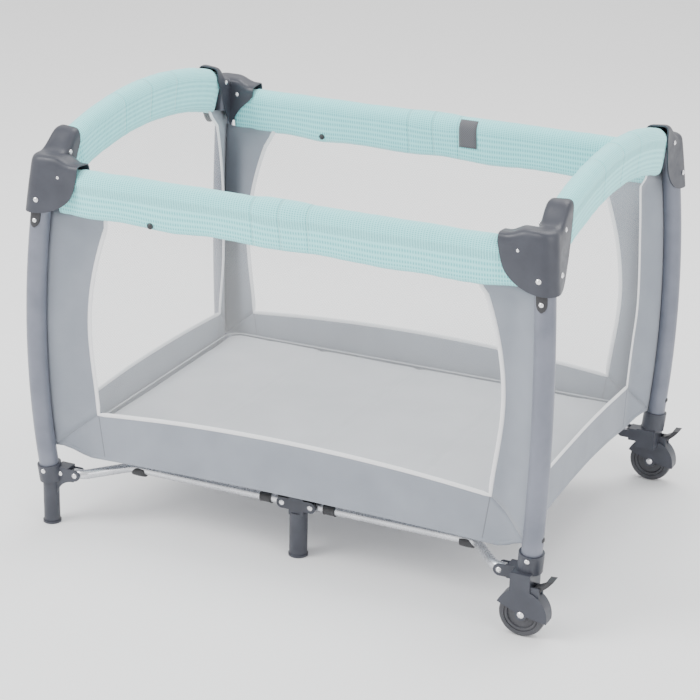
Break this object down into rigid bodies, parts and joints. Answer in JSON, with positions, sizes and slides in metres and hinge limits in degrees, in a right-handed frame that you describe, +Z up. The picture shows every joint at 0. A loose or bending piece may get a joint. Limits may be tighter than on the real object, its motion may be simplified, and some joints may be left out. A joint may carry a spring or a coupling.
{
  "type": "travel play yard",
  "caption": "Folding travel play yard: bowed corner posts, padded hinged top rails, mesh walls, lift-out mattress, folding lower frame, feet at one end and braked wheels at the other.",
  "frame": {"origin": "centre of the bounding box, on the floor plane", "axes": "+X along the length towards the wheeled end, +Y to the back long side, +Z up"},
  "size_m": [1.0212, 0.7496, 0.7665],
  "materials": {
    "painted_steel": "satin grey paint",
    "plated_steel": "bright plated tube",
    "moulded_plastic": "fine moulded texture",
    "dark_plastic": "fine moulded texture",
    "wheel_plastic": "hard wheel tread",
    "rivet_steel": "polished",
    "mint_waffle": "padded check weave",
    "grey_fabric": "plain weave",
    "white_mesh": "fine open net",
    "white_piping": "twill tape",
    "mattress_fabric": "brushed cover",
    "webbing": "woven tape"
  },
  "bodies": {
    "corner_fl": {"post_fl": "painted_steel", "corner_cap_fl": "moulded_plastic", "foot_fl": "moulded_plastic", "wall_front": "grey_fabric", "wall_back": "grey_fabric", "wall_left": "grey_fabric", "wall_right": "grey_fabric", "mesh_windows": "white_mesh", "floor_panel": "grey_fabric"},
    "corner_fr": {"post_fr": "painted_steel", "corner_cap_fr": "moulded_plastic", "caster_bracket_fr": "moulded_plastic", "wheel_axle_fr": "rivet_steel"},
    "corner_bl": {"post_bl": "painted_steel", "corner_cap_bl": "moulded_plastic", "foot_bl": "moulded_plastic"},
    "corner_br": {"post_br": "painted_steel", "corner_cap_br": "moulded_plastic", "caster_bracket_br": "moulded_plastic", "wheel_axle_br": "rivet_steel"},
    "wheel_fr": {"wheel_fr": "wheel_plastic"},
    "wheel_br": {"wheel_br": "wheel_plastic"},
    "pedal_fr": {"brake_pedal_fr": "dark_plastic"},
    "pedal_br": {"brake_pedal_br": "dark_plastic"},
    "mattress": {"mattress": "mattress_fabric"},
    "top_front_l": {"rail_front_l": "plated_steel", "cover_front_l": "mint_waffle"},
    "top_front_r": {"rail_front_r": "plated_steel", "cover_front_r": "mint_waffle"},
    "top_back_l": {"rail_back_l": "plated_steel", "cover_back_l": "mint_waffle"},
    "top_back_r": {"rail_back_r": "plated_steel", "cover_back_r": "mint_waffle"},
    "top_left_f": {"rail_left_f": "plated_steel", "cover_left_f": "mint_waffle"},
    "top_left_b": {"rail_left_b": "plated_steel", "cover_left_b": "mint_waffle"},
    "top_right_f": {"rail_right_f": "plated_steel", "cover_right_f": "mint_waffle"},
    "top_right_b": {"rail_right_b": "plated_steel", "cover_right_b": "mint_waffle"},
    "hinge_front": {"latch_front": "moulded_plastic"},
    "button_front": {"button_front": "dark_plastic"},
    "hinge_back": {"latch_back": "moulded_plastic"},
    "button_back": {"button_back": "dark_plastic"},
    "hinge_left": {"latch_left": "moulded_plastic"},
    "button_left": {"button_left": "dark_plastic"},
    "hinge_right": {"latch_right": "moulded_plastic"},
    "button_right": {"button_right": "dark_plastic"},
    "low_front_l": {"low_rail_front_l": "plated_steel"},
    "low_front_r": {"low_rail_front_r": "plated_steel"},
    "low_back_l": {"low_rail_back_l": "plated_steel"},
    "low_back_r": {"low_rail_back_r": "plated_steel"},
    "midfoot_front": {"midfoot_front": "moulded_plastic"},
    "cross_front": {"cross_tube_front": "plated_steel"},
    "midfoot_back": {"midfoot_back": "moulded_plastic"},
    "cross_back": {"cross_tube_back": "plated_steel"},
    "hub": {"centre_hub": "moulded_plastic", "pull_strap": "webbing"}
  },
  "joints": [
    {"name": "fold", "type": "hinge", "parent": "corner_fl", "child": "top_front_l", "pos_m": [-0.42739, -0.332, 0.664], "axis": [0, 1, 0], "range_deg": [0, 80], "deforming": ["cover_front_l", "cover_front_r", "cover_back_l", "cover_back_r", "cover_left_f", "cover_left_b", "cover_right_f", "cover_right_b", "wall_front", "wall_back", "wall_left", "wall_right", "mesh_windows", "floor_panel", "mattress"]},
    {"name": "front_latch_l", "type": "hinge", "parent": "top_front_l", "child": "hinge_front", "pos_m": [-0.03939, -0.332, 0.664], "axis": [0, -1, 0], "range_deg": [0, 80]},
    {"name": "front_latch_r", "type": "hinge", "parent": "hinge_front", "child": "top_front_r", "pos_m": [0.01661, -0.332, 0.664], "axis": [0, -1, 0], "range_deg": [0, 80]},
    {"name": "cap_fr_front", "type": "hinge", "parent": "top_front_r", "child": "corner_fr", "pos_m": [0.40461, -0.332, 0.664], "axis": [0, 1, 0], "range_deg": [0, 80]},
    {"name": "cap_fl_left", "type": "hinge", "parent": "corner_fl", "child": "top_left_f", "pos_m": [-0.47139, -0.282, 0.704], "axis": [-1, 0, 0], "range_deg": [0, 80]},
    {"name": "left_latch_f", "type": "hinge", "parent": "top_left_f", "child": "hinge_left", "pos_m": [-0.47139, -0.066, 0.704], "axis": [1, 0, 0], "range_deg": [0, 80]},
    {"name": "left_latch_b", "type": "hinge", "parent": "hinge_left", "child": "top_left_b", "pos_m": [-0.47139, 0.066, 0.704], "axis": [1, 0, 0], "range_deg": [0, 80]},
    {"name": "cap_bl_left", "type": "hinge", "parent": "top_left_b", "child": "corner_bl", "pos_m": [-0.47139, 0.282, 0.704], "axis": [-1, 0, 0], "range_deg": [0, 80]},
    {"name": "cap_bl_back", "type": "hinge", "parent": "corner_bl", "child": "top_back_l", "pos_m": [-0.42739, 0.332, 0.664], "axis": [0, 1, 0], "range_deg": [0, 80]},
    {"name": "back_latch_l", "type": "hinge", "parent": "top_back_l", "child": "hinge_back", "pos_m": [-0.03939, 0.332, 0.664], "axis": [0, -1, 0], "range_deg": [0, 80]},
    {"name": "back_latch_r", "type": "hinge", "parent": "hinge_back", "child": "top_back_r", "pos_m": [0.01661, 0.332, 0.664], "axis": [0, -1, 0], "range_deg": [0, 80]},
    {"name": "cap_br_back", "type": "hinge", "parent": "top_back_r", "child": "corner_br", "pos_m": [0.40461, 0.332, 0.664], "axis": [0, 1, 0], "range_deg": [0, 80]},
    {"name": "cap_fr_right", "type": "hinge", "parent": "corner_fr", "child": "top_right_f", "pos_m": [0.44861, -0.282, 0.704], "axis": [-1, 0, 0], "range_deg": [0, 80]},
    {"name": "right_latch_f", "type": "hinge", "parent": "top_right_f", "child": "hinge_right", "pos_m": [0.44861, -0.066, 0.704], "axis": [1, 0, 0], "range_deg": [0, 80]},
    {"name": "right_latch_b", "type": "hinge", "parent": "hinge_right", "child": "top_right_b", "pos_m": [0.44861, 0.066, 0.704], "axis": [1, 0, 0], "range_deg": [0, 80]},
    {"name": "foot_front", "type": "hinge", "parent": "corner_fl", "child": "low_front_l", "pos_m": [-0.42739, -0.332, 0.102], "axis": [0, -1, 0], "range_deg": [0, 80]},
    {"name": "midfoot_front_l", "type": "hinge", "parent": "low_front_l", "child": "midfoot_front", "pos_m": [-0.03939, -0.259, 0.102], "axis": [0, 1, 0], "range_deg": [0, 80]},
    {"name": "midfoot_front_r", "type": "hinge", "parent": "midfoot_front", "child": "low_front_r", "pos_m": [0.01661, -0.259, 0.102], "axis": [0, 1, 0], "range_deg": [0, 80]},
    {"name": "foot_back", "type": "hinge", "parent": "corner_bl", "child": "low_back_l", "pos_m": [-0.42739, 0.332, 0.102], "axis": [0, -1, 0], "range_deg": [0, 80]},
    {"name": "midfoot_back_l", "type": "hinge", "parent": "low_back_l", "child": "midfoot_back", "pos_m": [-0.03939, 0.259, 0.102], "axis": [0, 1, 0], "range_deg": [0, 80]},
    {"name": "midfoot_back_r", "type": "hinge", "parent": "midfoot_back", "child": "low_back_r", "pos_m": [0.01661, 0.259, 0.102], "axis": [0, 1, 0], "range_deg": [0, 80]},
    {"name": "cross_front", "type": "hinge", "parent": "midfoot_front", "child": "cross_front", "pos_m": [-0.01139, -0.229, 0.102], "axis": [1, 0, 0], "range_deg": [0, 80]},
    {"name": "hub_front", "type": "hinge", "parent": "cross_front", "child": "hub", "pos_m": [-0.01139, -0.013, 0.102], "axis": [-1, 0, 0], "range_deg": [0, 80]},
    {"name": "hub_back", "type": "hinge", "parent": "hub", "child": "cross_back", "pos_m": [-0.01139, 0.013, 0.102], "axis": [-1, 0, 0], "range_deg": [0, 80]},
    {"name": "wheel_fr_spin", "type": "hinge", "parent": "corner_fr", "child": "wheel_fr", "pos_m": [0.45661, -0.359, 0.041], "axis": [0, 1, 0], "continuous": true},
    {"name": "brake_fr", "type": "hinge", "parent": "corner_fr", "child": "pedal_fr", "pos_m": [0.48161, -0.359, 0.09], "axis": [0, 1, 0], "range_deg": [0, 24], "stiffness_Nm_per_rad": 0.05},
    {"name": "wheel_br_spin", "type": "hinge", "parent": "corner_br", "child": "wheel_br", "pos_m": [0.45661, 0.359, 0.041], "axis": [0, 1, 0], "continuous": true},
    {"name": "brake_br", "type": "hinge", "parent": "corner_br", "child": "pedal_br", "pos_m": [0.48161, 0.359, 0.09], "axis": [0, 1, 0], "range_deg": [0, 24], "stiffness_Nm_per_rad": 0.05},
    {"name": "latch_front_press", "type": "slide", "parent": "hinge_front", "child": "button_front", "axis": [0, 0, 1], "range_m": [0, 0.004], "stiffness_N_per_m": 150},
    {"name": "latch_back_press", "type": "slide", "parent": "hinge_back", "child": "button_back", "axis": [0, 0, 1], "range_m": [0, 0.004], "stiffness_N_per_m": 150},
    {"name": "latch_left_press", "type": "slide", "parent": "hinge_left", "child": "button_left", "axis": [0, 0, 1], "range_m": [0, 0.004], "stiffness_N_per_m": 150},
    {"name": "latch_right_press", "type": "slide", "parent": "hinge_right", "child": "button_right", "axis": [0, 0, 1], "range_m": [0, 0.004], "stiffness_N_per_m": 150},
    {"name": "mattress_lift", "type": "slide", "parent": "hub", "child": "mattress", "axis": [0, 0, 1], "range_m": [0, 0.62]}
  ],
  "couplings": [
    {"joint": "front_latch_l", "follows": "fold", "ratio": 1},
    {"joint": "front_latch_r", "follows": "fold", "ratio": 1},
    {"joint": "cap_fr_front", "follows": "fold", "ratio": 1},
    {"joint": "cap_fl_left", "follows": "fold", "ratio": 1},
    {"joint": "left_latch_f", "follows": "fold", "ratio": 1},
    {"joint": "left_latch_b", "follows": "fold", "ratio": 1},
    {"joint": "cap_bl_left", "follows": "fold", "ratio": 1},
    {"joint": "cap_bl_back", "follows": "fold", "ratio": 1},
    {"joint": "back_latch_l", "follows": "fold", "ratio": 1},
    {"joint": "back_latch_r", "follows": "fold", "ratio": 1},
    {"joint": "cap_br_back", "follows": "fold", "ratio": 1},
    {"joint": "cap_fr_right", "follows": "fold", "ratio": 1},
    {"joint": "right_latch_f", "follows": "fold", "ratio": 1},
    {"joint": "right_latch_b", "follows": "fold", "ratio": 1},
    {"joint": "foot_front", "follows": "fold", "ratio": 1},
    {"joint": "midfoot_front_l", "follows": "fold", "ratio": 1},
    {"joint": "midfoot_front_r", "follows": "fold", "ratio": 1},
    {"joint": "foot_back", "follows": "fold", "ratio": 1},
    {"joint": "midfoot_back_l", "follows": "fold", "ratio": 1},
    {"joint": "midfoot_back_r", "follows": "fold", "ratio": 1},
    {"joint": "cross_front", "follows": "fold", "ratio": 1},
    {"joint": "hub_front", "follows": "fold", "ratio": 1},
    {"joint": "hub_back", "follows": "fold", "ratio": 1}
  ]
}
